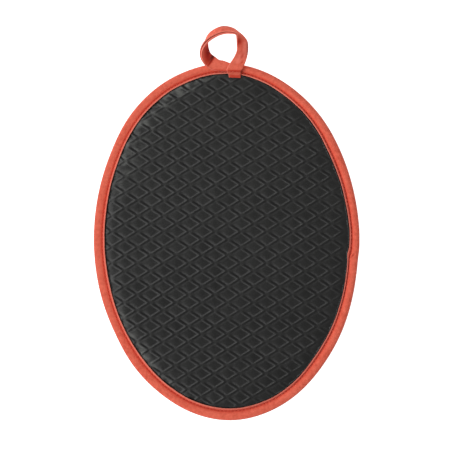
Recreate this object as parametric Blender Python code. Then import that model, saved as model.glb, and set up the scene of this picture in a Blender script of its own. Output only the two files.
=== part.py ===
"""Oval pot holder: a soft black pad pressed with diamonds, bound in coral cotton tape, with a hanging loop.

It lies on its back. The origin is the middle of the oval, on the surface. +Y runs along the oval towards the
loop, +X to the right, +Z up through the pressed face. Lengths are metres; the tables give millimetres.
"""

import math
from collections import namedtuple

import bmesh
import bpy
from mathutils import Vector, geometry

MM = 0.001

# The bound oval, measured over the binding.
HALF_WIDTH = 0.1003
HALF_LENGTH = 0.1351

# The hand-sewn edge, counted anticlockwise from +X. bulge: how far the edge lies outside the true oval.
# width: how far the binding reaches in over the pad. dip: how far its roll is pressed down at the joint.
SewnRow = namedtuple("SewnRow", "angle_deg bulge width dip")
SEWN_EDGE = [
    SewnRow(2, 0.3, 7.9, 0.0),
    SewnRow(15, 0.3, 8.4, 0.0),
    SewnRow(30, 0.4, 9.1, 0.0),
    SewnRow(42, 0.6, 8.8, 0.0),
    SewnRow(60, -0.2, 8.5, 0.0),
    SewnRow(75, -0.4, 8.0, 0.0),
    SewnRow(90, -0.4, 8.2, 0.0),
    SewnRow(105, -0.5, 8.5, 0.0),
    SewnRow(120, 0.3, 8.5, 0.0),
    SewnRow(135, 0.7, 8.3, 0.0),
    SewnRow(150, -0.2, 7.9, 0.0),
    SewnRow(165, 0.0, 8.5, 0.0),
    SewnRow(180, 0.2, 8.6, 0.0),
    SewnRow(195, 0.0, 8.6, 0.0),
    SewnRow(210, -0.7, 8.2, 0.0),
    SewnRow(222, -0.3, 9.2, 0.0),
    SewnRow(240, -0.7, 9.0, 0.0),
    SewnRow(255, -0.3, 9.2, 0.0),
    SewnRow(270, 0.2, 9.4, 0.0),
    SewnRow(285, 0.0, 9.1, 0.0),
    SewnRow(300, -0.1, 8.8, 0.0),
    SewnRow(315, -0.5, 9.1, 0.0),
    SewnRow(330, -0.3, 8.6, 0.0),
    SewnRow(345, -0.7, 7.9, 0.0),
    SewnRow(352, -0.7, 7.8, 0.0),
    SewnRow(354, -0.5, 8.1, 0.1),
    SewnRow(355, -0.3, 9.0, 0.6),
    SewnRow(356, -0.1, 8.3, 0.1),
]
EDGE_STEP_DEG = 3.5  # between sections along the edge

# The binding's section. share: the part of the binding's width, from its outermost edge inwards.
SectionRow = namedtuple("SectionRow", "share height dips")
BINDING_SECTION = [
    SectionRow(1.00, 3.75, 0.0),  # foot of the turned-in lip
    SectionRow(1.00, 4.35, 0.0),
    SectionRow(0.93, 4.95, 0.0),  # crest of the lip
    SectionRow(0.85, 4.80, 0.0),
    SectionRow(0.75, 4.20, 0.0),  # valley pulled down by the seam
    SectionRow(0.65, 4.85, 0.5),
    SectionRow(0.52, 5.75, 1.0),
    SectionRow(0.36, 6.10, 1.0),  # crest of the roll
    SectionRow(0.18, 5.60, 1.0),
    SectionRow(0.05, 4.45, 0.5),
    SectionRow(0.00, 3.10, 0.0),  # outermost edge
    SectionRow(0.05, 1.50, 0.0),
    SectionRow(0.14, 0.40, 0.0),
    SectionRow(0.27, 0.00, 0.0),  # flat underside
    SectionRow(0.97, 0.00, 0.0),
    SectionRow(0.97, 1.00, 0.0),
    SectionRow(0.25, 1.15, 0.0),  # inside of the fold, round the pad's edge
    SectionRow(0.15, 1.95, 0.0),
    SectionRow(0.12, 3.00, 0.0),
    SectionRow(0.17, 4.05, 0.0),
    SectionRow(0.33, 4.75, 0.0),
    SectionRow(0.50, 4.50, 0.0),
    SectionRow(0.74, 3.30, 0.0),
]

# The pad's edge inside the binding: squeezed along the seam, full again beyond it.
PadRow = namedtuple("PadRow", "share height")
PAD_TOP_IN_BINDING = [
    PadRow(0.26, 4.05),
    PadRow(0.50, 4.15),
    PadRow(0.74, 2.90),
    PadRow(0.97, 3.35),
]
PAD_BACK_IN_BINDING = [
    PadRow(0.19, 3.00),
    PadRow(0.27, 1.60),
    PadRow(0.74, 1.33),
    PadRow(1.06, 1.33),
]
PAD_BACK_SAG = 0.0045  # past the binding, over which the back comes down to the surface
PAD_CROWN = 0.0062  # height of the middle of the pad
PAD_CROWN_RUN = 0.009  # how quickly the pad swells up from its binding

# The pressed lattice of diamonds.
DIAMOND_LENGTH = 0.01953
DIAMOND_HEIGHT = 0.01192
LATTICE_TURN_DEG = -1.52
LATTICE_CROSSING = (0.0017, 0.00195)  # the crossing nearest to the middle of the oval
GROOVE_HALF_WIDTH = 0.0009
GROOVE_DEPTH = 0.0006
DISH_START = 0.0021  # from the groove's middle to where a diamond's floor is at its lowest
DISH_DEPTH = 0.00022
LATTICE_REACH = 15  # lines on each side of the middle
SHORTEST_PIECE = 0.0004  # of a lattice line that the binding cuts
CLEAR_OF_LINES = 0.0012  # from the end of a cut line to the next point of the binding's inner edge
SAME_POINT = 0.00001
ON_THE_RIM = 0.01  # of the binding's width
CUT_HALVINGS = 24
KEEP_INSIDE = 1  # the triangulation's setting that keeps the triangles inside the outline
TRIANGULATION_TOLERANCE = 1e-7
PAD_SHARP_DEG = 60
TAPE_SHARP_DEG = 50

# The hanging loop, as its tape runs from the tail of the right leg, round, to the end of the left leg.
# near: the edge that is higher over most of the loop. far: the other edge. thick: through the folded tape.
LoopRow = namedtuple("LoopRow", "place near_x near_y near_z far_x far_y far_z thick")
LOOP = [
    LoopRow("tail end", 5.0, 124.0, 4.65, 13.8, 123.4, 4.65, 1.0),
    LoopRow("over the lip", 4.7, 126.2, 5.90, 14.0, 125.5, 5.90, 1.0),
    LoopRow("seam", 3.7, 128.3, 7.95, 14.6, 127.7, 7.95, 1.0),
    LoopRow("on the roll", 3.5, 130.0, 8.30, 15.4, 129.7, 8.30, 1.0),
    LoopRow("leaves the edge", 5.9, 134.0, 8.90, 17.5, 134.0, 8.90, 1.1),
    LoopRow("right leg, low", 9.3, 138.9, 9.20, 19.2, 138.8, 8.50, 1.3),
    LoopRow("right leg", 11.4, 143.6, 9.10, 20.1, 144.1, 7.40, 1.5),
    LoopRow("right leg, high", 11.6, 149.2, 9.30, 19.8, 150.2, 6.30, 1.6),
    LoopRow("turning", 11.7, 153.4, 9.70, 17.3, 154.3, 3.60, 1.6),
    LoopRow("corner", 11.3, 156.3, 10.00, 13.6, 157.7, 1.90, 1.6),
    LoopRow("top right", 7.4, 157.6, 10.00, 8.4, 161.1, 2.10, 1.7),
    LoopRow("top", 1.3, 157.6, 9.80, 0.7, 162.4, 2.40, 1.8),
    LoopRow("top left", -5.4, 155.2, 9.90, -7.7, 158.3, 2.20, 1.9),
    LoopRow("upper left", -11.3, 151.4, 10.10, -10.6, 152.3, 1.90, 2.1),
    LoopRow("left, high", -15.2, 146.5, 10.20, -10.2, 147.2, 2.80, 1.9),
    LoopRow("left", -16.7, 141.6, 9.80, -8.8, 142.7, 5.30, 1.7),
    LoopRow("left, low", -15.7, 137.2, 9.30, -7.0, 140.1, 6.30, 1.4),
    LoopRow("bend", -12.7, 132.9, 7.90, -5.1, 138.9, 7.00, 1.2),
    LoopRow("left leg, start", -7.9, 129.8, 6.80, -2.2, 137.6, 7.70, 1.0),
    LoopRow("left leg", -2.0, 128.6, 6.70, 1.5, 136.7, 7.70, 1.0),
    LoopRow("under right leg", 4.0, 128.3, 6.60, 6.8, 135.7, 7.70, 1.0),
    LoopRow("left leg end", 9.8, 128.0, 6.60, 11.9, 134.9, 7.70, 1.0),
]
LOOP_STEPS = 3  # sections from one row to the next
# The tape's section: along its width, from -1 at the far edge to 1 at the near one, and through it.
TAPE_SECTION = [
    (1.0, 0.25),
    (0.9, 0.5),
    (-0.9, 0.5),
    (-1.0, 0.25),
    (-1.0, -0.25),
    (-0.9, -0.5),
    (0.9, -0.5),
    (1.0, -0.25),
]

PAD_BLACK = (0.026, 0.026, 0.025, 1.0)
TAPE_CORAL = (0.745, 0.112, 0.069, 1.0)


def clear_scene():
    for old in list(bpy.data.objects):
        bpy.data.objects.remove(old, do_unlink=True)


def material(name, color, roughness):
    made = bpy.data.materials.new(name)
    made.use_nodes = True
    shader = made.node_tree.nodes["Principled BSDF"]
    shader.inputs["Base Color"].default_value = color
    shader.inputs["Roughness"].default_value = roughness
    shader.inputs["Metallic"].default_value = 0.0
    return made


def add_object(name, shape, look, parent, sharp_deg):
    """Finish a bmesh as an object with its faces pointing out, shaded smooth up to an angle."""
    bmesh.ops.recalc_face_normals(shape, faces=shape.faces)
    mesh = bpy.data.meshes.new(name)
    shape.to_mesh(mesh)
    shape.free()
    mesh.shade_smooth()
    mesh.set_sharp_from_angle(angle=math.radians(sharp_deg))
    mesh.materials.append(look)
    made = bpy.data.objects.new(name, mesh)
    made.parent = parent
    bpy.context.scene.collection.objects.link(made)
    return made


def smooth_between(before, start, end, after, t):
    """Catmull-Rom curve through rows of numbers, t from 0 at start to 1 at end."""
    return [
        0.5 * (2 * b + (c - a) * t + (2 * a - 5 * b + 4 * c - d) * t * t + (3 * b - a - 3 * c + d) * t ** 3)
        for a, b, c, d in zip(before, start, end, after)
    ]


# --- The sewn edge ---------------------------------------------------------------------------------------

Station = namedtuple("Station", "angle bulge width dip")


def edge_stations():
    """Sections round the whole edge, a few degrees apart and closer at the tape's joint."""
    stations = []
    count = len(SEWN_EDGE)
    for i in range(count):
        rows = []
        for k in (i - 1, i, i + 1, i + 2):
            row = SEWN_EDGE[k % count]
            rows.append((row.angle_deg + 360 * (k // count), row.bulge, row.width, row.dip))
        steps = max(1, round((rows[2][0] - rows[1][0]) / EDGE_STEP_DEG))
        for step in range(steps):
            angle, bulge, width, dip = smooth_between(*rows, step / steps)
            stations.append(Station(math.radians(angle), bulge * MM, width * MM, dip * MM))
    return stations


def edge_point(station, inset):
    """The point that lies inset from the sewn edge, measured square to the oval."""
    cos, sin = math.cos(station.angle), math.sin(station.angle)
    outwards = Vector((cos / HALF_WIDTH, sin / HALF_LENGTH)).normalized()
    return Vector((HALF_WIDTH * cos, HALF_LENGTH * sin)) + outwards * (station.bulge - inset)


def sewn_at(stations, x, y):
    """The edge's bulge and the binding's width, abreast of a point of the face."""
    angle = math.atan2(y / HALF_LENGTH, x / HALF_WIDTH)
    first = stations[0].angle
    angle = first + (angle - first) % (2 * math.pi)
    after = next((k for k, s in enumerate(stations) if s.angle > angle), len(stations))
    a = stations[after - 1]
    b = stations[after % len(stations)]
    span = (b.angle - a.angle) % (2 * math.pi)
    t = (angle - a.angle) / span
    return a.bulge + t * (b.bulge - a.bulge), a.width + t * (b.width - a.width)


def inset_and_width(stations, x, y):
    """How far a point lies in from the sewn edge, and the binding's width there."""
    level = math.hypot(x / HALF_WIDTH, y / HALF_LENGTH)
    if level == 0:
        return HALF_WIDTH, SEWN_EDGE[0].width * MM
    slope = math.hypot(x / HALF_WIDTH ** 2, y / HALF_LENGTH ** 2) / level
    bulge, width = sewn_at(stations, x, y)
    return (1 - level) / slope + bulge, width


# --- The pad ---------------------------------------------------------------------------------------------

LINE_SPACING = 1 / math.hypot(1 / DIAMOND_LENGTH, 1 / DIAMOND_HEIGHT)


def from_lattice(first, second):
    """The point where the two families of lattice lines have these counts."""
    along = DIAMOND_LENGTH * (first + second) / 2
    up = DIAMOND_HEIGHT * (first - second) / 2
    turn = math.radians(LATTICE_TURN_DEG)
    x = LATTICE_CROSSING[0] + along * math.cos(turn) - up * math.sin(turn)
    y = LATTICE_CROSSING[1] + along * math.sin(turn) + up * math.cos(turn)
    return Vector((x, y))


def to_lattice(x, y):
    turn = math.radians(-LATTICE_TURN_DEG)
    x, y = x - LATTICE_CROSSING[0], y - LATTICE_CROSSING[1]
    along = (x * math.cos(turn) - y * math.sin(turn)) / DIAMOND_LENGTH
    up = (x * math.sin(turn) + y * math.cos(turn)) / DIAMOND_HEIGHT
    return along + up, along - up


def relief(x, y):
    """How far the pressing lowers a point: a narrow groove, a raised rim and a slightly dished diamond."""
    reach = min(abs(count - round(count)) for count in to_lattice(x, y)) * LINE_SPACING
    if reach < GROOVE_HALF_WIDTH:
        return -GROOVE_DEPTH * (1 - reach / GROOVE_HALF_WIDTH)
    return -DISH_DEPTH * min(1, (reach - GROOVE_HALF_WIDTH) / (DISH_START - GROOVE_HALF_WIDTH))


def pad_top(stations, x, y):
    inset, width = inset_and_width(stations, x, y)
    rows = PAD_TOP_IN_BINDING
    rim = rows[-1]
    share = inset / width
    if share >= rim.share - ON_THE_RIM:
        swell = 1 - math.exp(-max(0.0, inset - rim.share * width) / PAD_CROWN_RUN)
        return rim.height * MM + (PAD_CROWN - rim.height * MM) * swell + relief(x, y)
    for outer, inner in zip(rows, rows[1:]):
        if share < inner.share:
            t = max(0.0, (share - outer.share) / (inner.share - outer.share))
            return (outer.height + t * (inner.height - outer.height)) * MM
    return rim.height * MM


def lattice_lines():
    """Each piece of a groove's middle line, and of the two rings inside each diamond, by its end points."""
    rings = (GROOVE_HALF_WIDTH / LINE_SPACING, DISH_START / LINE_SPACING)
    for first in range(-LATTICE_REACH, LATTICE_REACH):
        for second in range(-LATTICE_REACH, LATTICE_REACH):
            yield (first, second), (first + 1, second)
            yield (first, second), (first, second + 1)
            for gap in rings:
                low, high = gap, 1 - gap
                corners = [(low, low), (high, low), (high, high), (low, high)]
                for (a, b), (c, d) in zip(corners, corners[1:] + corners[:1]):
                    yield (first + a, second + b), (first + c, second + d)


def lattice_pieces(stations):
    """The lattice lines inside the binding: start, end, and the end again where the binding cuts the line."""
    rim_share = PAD_TOP_IN_BINDING[-1].share

    def inside_by(point):
        inset, width = inset_and_width(stations, *point)
        return inset - rim_share * width

    for start_counts, end_counts in lattice_lines():
        start, end = from_lattice(*start_counts), from_lattice(*end_counts)
        start_in, end_in = inside_by(start), inside_by(end)
        if start_in <= 0 and end_in <= 0:
            continue
        cut = None
        if start_in <= 0 or end_in <= 0:
            inner, outer = (start, end) if start_in > 0 else (end, start)
            near, far = 0.0, 1.0
            for _ in range(CUT_HALVINGS):
                middle = (near + far) / 2
                if inside_by(inner.lerp(outer, middle)) > 0:
                    near = middle
                else:
                    far = middle
            start, end = inner, inner.lerp(outer, near)
            cut = end
        if (end - start).length > SHORTEST_PIECE:
            yield start, end, cut


def make_pad(stations, look, parent):
    """The pad: pressed face from a constrained triangulation, then the edge and the plain back."""
    points, lines, places = [], [], {}

    def index_of(point):
        key = (round(point.x / SAME_POINT), round(point.y / SAME_POINT))
        if key not in places:
            places[key] = len(points)
            points.append(point)
        return places[key]

    cuts = []
    for start, end, cut in lattice_pieces(stations):
        lines.append((index_of(start), index_of(end)))
        if cut is not None:
            cuts.append(cut)

    rings = []
    for row in PAD_TOP_IN_BINDING:
        ring = [edge_point(s, row.share * s.width) for s in stations]
        if row is PAD_TOP_IN_BINDING[-1]:
            ring = [p for p in ring if all((p - c).length > CLEAR_OF_LINES for c in cuts)] + cuts
            ring.sort(key=lambda p: math.atan2(p.y / HALF_LENGTH, p.x / HALF_WIDTH))
        ring = list(dict.fromkeys(index_of(p) for p in ring))
        lines += list(zip(ring, ring[1:] + ring[:1]))
        rings.append(ring)

    made = geometry.delaunay_2d_cdt(points, lines, [rings[0]], KEEP_INSIDE, TRIANGULATION_TOLERANCE)
    flat, _, faces, came_from, _, _ = made
    shape = bmesh.new()
    verts = [shape.verts.new((p.x, p.y, pad_top(stations, p.x, p.y))) for p in flat]
    for face in faces:
        shape.faces.new([verts[k] for k in face])
    now = {old: new for new, olds in enumerate(came_from) for old in olds}
    rim = [verts[now[k]] for k in rings[0]]

    for row in PAD_BACK_IN_BINDING:
        flats = [edge_point(s, row.share * s.width) for s in stations]
        rim = next_ring(shape, rim, [(*p, row.height * MM) for p in flats])
    flats = [edge_point(s, PAD_BACK_IN_BINDING[-1].share * s.width + PAD_BACK_SAG) for s in stations]
    rim = next_ring(shape, rim, [(*p, 0.0) for p in flats])
    shape.faces.new(rim)
    return add_object("panel", shape, look, parent, PAD_SHARP_DEG)


def next_ring(shape, ring, places):
    """Add a ring of points and join it to the last one."""
    made = [shape.verts.new(place) for place in places]
    for k in range(len(ring)):
        after = (k + 1) % len(ring)
        shape.faces.new((ring[k], ring[after], made[after], made[k]))
    return made


# --- The binding and the loop ----------------------------------------------------------------------------


def make_binding(stations, look, parent):
    shape = bmesh.new()
    sections = []
    for station in stations:
        section = []
        for row in BINDING_SECTION:
            flat = edge_point(station, row.share * station.width)
            section.append((flat.x, flat.y, row.height * MM - row.dips * station.dip))
        sections.append(section)
    first = ring = [shape.verts.new(place) for place in sections[0]]
    for section in sections[1:]:
        ring = next_ring(shape, ring, section)
    for k in range(len(ring)):
        after = (k + 1) % len(ring)
        shape.faces.new((ring[k], ring[after], first[after], first[k]))
    return add_object("binding", shape, look, parent, TAPE_SHARP_DEG)


def loop_path():
    """Near edge, far edge and thickness along the loop's tape."""
    rows = [tuple(row[1:]) for row in LOOP]
    before_first = tuple(2 * a - b for a, b in zip(rows[0], rows[1]))
    after_last = tuple(2 * a - b for a, b in zip(rows[-1], rows[-2]))
    rows = [before_first] + rows + [after_last]
    path = []
    for k in range(1, len(rows) - 2):
        for step in range(LOOP_STEPS):
            path.append(smooth_between(*rows[k - 1:k + 3], step / LOOP_STEPS))
    path.append(rows[-2])
    return [(Vector(p[:3]) * MM, Vector(p[3:6]) * MM, p[6] * MM) for p in path]


def make_loop(look, parent):
    path = loop_path()
    middles = [(near + far) / 2 for near, far, _ in path]
    shape = bmesh.new()
    ring = None
    for k, (near, far, thick) in enumerate(path):
        along = middles[min(k + 1, len(path) - 1)] - middles[max(k - 1, 0)]
        across = (near - far) / 2
        through = along.cross(across).normalized() * thick
        section = [middles[k] + across * wide + through * deep for wide, deep in TAPE_SECTION]
        if ring is None:
            ring = [shape.verts.new(place) for place in section]
            shape.faces.new(ring)
        else:
            ring = next_ring(shape, ring, section)
    shape.faces.new(ring)
    return add_object("hanging_loop", shape, look, parent, TAPE_SHARP_DEG)


def main():
    clear_scene()
    holder = bpy.data.objects.new("pot_holder", None)
    bpy.context.scene.collection.objects.link(holder)
    stations = edge_stations()
    make_pad(stations, material("pad rubber", PAD_BLACK, 0.45), holder)
    make_binding(stations, material("binding tape", TAPE_CORAL, 0.85), holder)
    make_loop(material("loop tape", TAPE_CORAL, 0.85), holder)


main()
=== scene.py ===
"""Looks of the oval pot holder: pressed black pad, sewn coral binding, hanging loop and stitches.

Metres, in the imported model's frame: it lies on its back, +Y runs to the loop and +Z up. Names that end
in _MM, and the places, heights and sizes in the tables, are in millimetres.
"""

import math
from collections import namedtuple

import bpy
import numpy as np
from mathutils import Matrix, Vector, geometry, noise
from mathutils.bvhtree import BVHTree


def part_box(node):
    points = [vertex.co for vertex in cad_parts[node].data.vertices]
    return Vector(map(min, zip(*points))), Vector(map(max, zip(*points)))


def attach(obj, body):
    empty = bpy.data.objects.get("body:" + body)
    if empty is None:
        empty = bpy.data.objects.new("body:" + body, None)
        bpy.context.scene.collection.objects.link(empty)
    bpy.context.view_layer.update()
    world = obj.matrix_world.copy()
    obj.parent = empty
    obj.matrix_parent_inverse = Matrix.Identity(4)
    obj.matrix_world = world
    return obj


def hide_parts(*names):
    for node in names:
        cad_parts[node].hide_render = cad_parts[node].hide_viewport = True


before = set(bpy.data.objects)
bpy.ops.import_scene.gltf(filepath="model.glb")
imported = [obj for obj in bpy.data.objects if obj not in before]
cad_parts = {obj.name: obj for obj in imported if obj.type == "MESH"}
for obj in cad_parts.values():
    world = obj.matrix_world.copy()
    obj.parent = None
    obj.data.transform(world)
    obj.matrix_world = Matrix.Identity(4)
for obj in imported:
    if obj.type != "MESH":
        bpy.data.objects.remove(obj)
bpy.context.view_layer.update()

MM = 0.001

# --- Sizes of the sewn edge ------------------------------------------------------------------------------

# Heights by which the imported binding's rings of points are found.
OUTERMOST_RING_MM = 3.10
LIP_FOOT_RING_MM = 3.75
RING_SLACK_MM = 0.01
RING_START = 0.01  # radians past +X, between two of its sections
FINE_STEPS = 10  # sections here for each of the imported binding's

# The binding's section. share: of its width, from the outermost edge inwards. pucker and wander: how far
# a row follows the seam's dips and its way to and fro, from 0 to 1.
SectionRow = namedtuple("SectionRow", "share height pucker wander")
BINDING_ROWS = [
    SectionRow(0.962, 4.28, 0.0, 1.0),  # foot of the lip, on the pad
    SectionRow(0.974, 4.40, 0.0, 1.0),
    SectionRow(0.970, 4.62, 0.1, 1.0),
    SectionRow(0.945, 4.86, 0.2, 0.9),
    SectionRow(0.905, 4.98, 0.3, 0.7),  # crest of the lip
    SectionRow(0.860, 4.84, 0.5, 0.5),
    SectionRow(0.810, 4.40, 0.9, 0.3),
    SectionRow(0.765, 4.00, 1.0, 0.2),  # valley pulled down by the seam
    SectionRow(0.725, 4.40, 0.9, 0.2),
    SectionRow(0.670, 5.06, 0.6, 0.2),
    SectionRow(0.590, 5.54, 0.4, 0.1),
    SectionRow(0.480, 5.84, 0.2, 0.0),
    SectionRow(0.360, 5.94, 0.1, 0.0),  # crest of the roll
    SectionRow(0.240, 5.82, 0.0, 0.0),
    SectionRow(0.140, 5.42, 0.0, 0.0),
    SectionRow(0.060, 4.62, 0.0, 0.0),
    SectionRow(0.015, 3.80, 0.0, 0.0),
    SectionRow(0.000, 3.05, 0.0, 0.0),  # outermost edge
    SectionRow(0.015, 2.20, 0.0, 0.0),
    SectionRow(0.060, 1.30, 0.0, 0.0),
    SectionRow(0.130, 0.55, 0.0, 0.0),
    SectionRow(0.220, 0.12, 0.0, 0.0),
    SectionRow(0.330, 0.02, 0.0, 0.0),
    SectionRow(0.600, 0.02, 0.0, 0.0),
    SectionRow(0.930, 0.02, 0.0, 0.3),
    SectionRow(0.955, 0.15, 0.0, 0.3),  # folded edge of the flap behind
    SectionRow(0.962, 0.50, 0.0, 0.3),
    SectionRow(0.950, 0.88, 0.0, 0.3),
    SectionRow(0.900, 0.98, 0.0, 0.0),
    SectionRow(0.500, 1.05, 0.0, 0.0),
    SectionRow(0.250, 1.20, 0.0, 0.0),
    SectionRow(0.155, 1.90, 0.0, 0.0),
    SectionRow(0.125, 3.00, 0.0, 0.0),
    SectionRow(0.170, 4.00, 0.0, 0.0),
    SectionRow(0.330, 4.70, 0.0, 0.0),
    SectionRow(0.500, 4.45, 0.0, 0.0),
    SectionRow(0.640, 3.70, 0.0, 0.0),
    SectionRow(0.740, 3.28, 0.0, 0.0),
    SectionRow(0.850, 3.30, 0.0, 0.3),
    SectionRow(0.878, 3.86, 0.0, 0.6),
    SectionRow(0.925, 4.26, 0.0, 1.0),
]
SECTION_STEPS = 2  # points for each row
BINDING_WIDE_MM = 8.6  # about, for the weave
SEAM_SHARE = 0.765
LIP_SHARES = (0.80, 0.87)  # from the valley's inner side to the lip
ROLL_FOOT_MM = 4.1
FLATTER_AT_LEFT = 0.72  # how far the roll is pressed down there, as a share of its height over its foot
FLATTER_FACING = (-0.2, 0.9)  # cosines, as facing() takes them
PUCKER_MM = 0.16
WANDER_MM = 0.22
WANDER_LONG_MM = 17
WANDER_SHORT_MM = 6
WANDER_SHORT_SHARE = 0.5  # of the long one's reach
PULLED_IN_MM = 0.06  # at each stitch
WRINKLE_MM = 0.10
WRINKLE_LONG_MM = 5.0
WRINKLE_SHORT_MM = 2.6
WRINKLE_SHORT_SHARE = 0.6  # of the long one's height
WRINKLE_SLANT = (0.8, 0.35)  # how a long wrinkle runs on across the tape
WRINKLED_FROM_MM = (2.0, 4.0)  # up the roll, where wrinkles start and where they are whole
NARROWER_AT_RIGHT_MM = 0.30
NARROWER_WITHIN_DEG = 32

# The joint in the tape, at the right: the seam and the lip step inwards there, and a short crease starts
# beside it. For each step: from which Y to which, and how far in.
JOINT_SEAM_MM = (-11.0, -16.5, 1.25)
JOINT_LIP_MM = (-5.5, -14.5, 0.8)
JOINT_SHARES = (0.40, 0.75)  # from the roll's crest to the valley, where the steps are whole
JOINT_RUN_MM = 45.0  # below the joint, over which the step is made good
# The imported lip's own step is evened out about there, over this many sections to each side.
JOINT_MIDDLE_MM = -11.0
JOINT_EVENED_MM = 9.0
LIP_EVENED_POINTS = 26
Oval = namedtuple("Oval", "x y half_long half_wide turn_deg")
CREASE = Oval(95.1, -13.0, 1.9, 0.60, 50)
CREASE_DEEP_MM = 0.6

# The binding's colours, painted shade and painted highlight with some wear on the lip: where they lie on its
# section, and how strong they are. In a pair of strengths or half widths, the second is what is added at the
# right.
COLORS_FROM_MM = 3.9  # high, on the side that shows
RIGHT_FACING = (-0.1, 0.8)
RIGHT_TURN = -0.5  # radians from +X
# Painted shade down the seam's valley: its half width, its strength, and within how many degrees of the
# right it is darker.
SEAM_LINE_HALF_WIDE = (0.050, 0.014)
SEAM_LINE_SHADE = (0.60, 0.38)
DARKER_SEAM_WITHIN_DEG = 45
# Reddened painted shade beside the seam's valley.
REDDENED_SHADE_HALF_WIDE = 0.17
REDDENED_SHADE_PAST_SEAM = 0.06  # where it ends
REDDENED_SHADE = (0.9, -0.45)
LIP_COLOR_SHARES = (0.84, 0.90)
# The lip's own lighter, worn edge, with a painted highlight that is weaker at the right.
LIP_WEAR_AND_HIGHLIGHT = (0.6, -0.24)
# Greyed painted shade on the lip at the right, away from the light.
LIP_GREY_SHADE = (0.0, 0.55)
# Greyed painted shade along the outermost edge, stronger at the right.
OUTER_EDGE_SHARE = 0.05
OUTER_EDGE_MM = (1.0, 5.0)
OUTER_EDGE_GREY_SHADE = (0.48, 0.32)
# Painted shade in the crease beside the joint.
CREASE_SHADE = 0.6
CREASE_DARK_SHADE = 0.15

# The stitches.
STITCH_PITCH_MM = 3.0
STITCH_LENGTH_MM = 2.35
THREAD_MM = 0.42
THREAD_RISE_MM = 0.10  # of its middle over the cloth
THREAD_SINK_MM = 0.30  # of its ends, under its middle
THREAD_END_SHARE = 0.03  # of its section, left at its ends
THREAD_TWISTS = 2.0  # in half a stitch
THREAD_RINGS = 9
THREAD_SIDES = 8
AHEAD_MM = 0.1  # along the seam, to find the way it runs
LOOK_DOWN_FROM_MM = 50  # over everything, to find the cloth under a stitch

# --- Sizes of the pad ------------------------------------------------------------------------------------

PAD_RIM_SHARE = 1.022  # of the binding's width: the face ends there, at the narrow gap beside the lip
PAD_RIM_MM = 4.12
SQUARES_FROM_RIM_MM = 0.12  # inside the rim, where the lattice's whole squares end
PAD_SWELL_MM = (0.7, 4.0)  # high, and its run from the rim
PAD_DOME_MM = (0.8, 92.0)  # high, and its run from the rim
PAD_WAVES_MM = (0.45, 6.0, 5.0)  # high, long, and their run from the rim
WAVES_START_MM = (0.0, 1.0)  # from the rim
WAVES_END = 6  # of their runs from the rim
# The pad's edge from the gap beside the lip, under the tape and round to its back: share of the binding's
# width, and height.
PAD_EDGE_ROWS = [
    (1.012, 4.00), (1.002, 3.70), (0.985, 3.50), (0.940, 3.42), (0.905, 3.38), (0.89, 3.00), (0.74, 2.75),
    (0.50, 3.60), (0.26, 3.60), (0.20, 2.90), (0.28, 1.75), (0.74, 1.45), (1.06, 1.35),
]
PAD_BACK_IN_MM = 4.5  # inside the last of these rows, where the back reaches the table
PAD_BACK_MM = 0.02
PAD_BACK_RINGS = (1.0, 0.75, 0.45, 0.2)

# The pressed lattice of diamonds.
DIAMOND_LENGTH_MM = 19.50
DIAMOND_HEIGHT_MM = 11.92
LATTICE_TURN_DEG = -1.52
LATTICE_CROSSING_MM = (1.38, 1.63)
DRAWN_ALONG_MM = 1.2  # to the right, level with the oval's top end: the rubber is drawn askew
DRAWN_ASKEW_MM = (0.6, -2.3)  # to the right and up there, growing as the square
DRAWN_ROUNDS = 12  # to find where an even place is drawn to
LATTICE_REACH = 15  # lines of each family to each side
LINE_SPACING_MM = 1 / math.hypot(1 / DIAMOND_LENGTH_MM, 1 / DIAMOND_HEIGHT_MM)
SIDE_LENGTH_MM = math.hypot(DIAMOND_LENGTH_MM, DIAMOND_HEIGHT_MM) / 2
# From a line's left side to its right side, closest where the pressing turns most.
GRID_STEPS_MM = (-3.6, -2.5, -2.1, -1.8, -1.55, -1.3, -1.05, -0.7, -0.3, 0.1, 0.5, 1.0, 1.6, 2.3, 3.4, 4.9)

# Across a line, from left to right: how far to the line's right and how high each turn of the pressing
# lies, and how wide it is on its own left and right. First for the lines that fall to the right, then for
# those that rise.
PressRow = namedtuple("PressRow", "off high wide_left wide_right")
PRESS_LIP = (
    (PressRow(-2.05, -0.17, 1.3, 0.36), PressRow(-1.00, 0.11, 0.38, 0.46)),
    (PressRow(-1.80, -0.20, 1.8, 0.34), PressRow(-0.78, 0.20, 0.38, 0.42)),
)
PRESS_GROOVE = (
    (PressRow(0.65, -0.08, 2.2, 2.0), PressRow(0.55, -0.34, 0.50, 1.15)),
    (PressRow(2.40, 0.03, 1.4, 1.7), PressRow(0.55, -0.16, 0.48, 0.90)),
)
# Along a line from its left crossing: where the groove and the lip start.
GROOVE_STARTS_MM = ((1.0, 4.0), (1.3, 3.6))
LIP_STARTS_MM = ((1.5, 3.4), (1.7, 3.6))
GROOVE_ENDS_MM = ((0.6, 3.6), (0.0, 1.8))  # before the line's right crossing
CORNER_ROUND_MM = 0.50
CORNER_TURNS = (0.3, 0.7)  # share of the way to the other side, over which the lip turns the corner
CORNER_LOW = 0.25  # of the lip's height, missing at the right corner
# Painted shade in the grooves: its width, and how dark it is for each family of lines.
GROOVE_SHADE_WIDE_MM = 0.75
GROOVE_SHADE = (1.0, 0.6)
DIAMOND_BAND_MM = (1.2, 3.0)  # from a line: the band round the diamonds ends
PRESSED_UNEVEN = 0.35  # of its height
PRESSED_UNEVEN_MM = 16
RIM_FADE_MM = (0.1, 1.4)
RIM_FADE_AT_RIGHT_MM = 6.0
RIM_FADE_FACING = (-0.2, 0.8)

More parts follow.
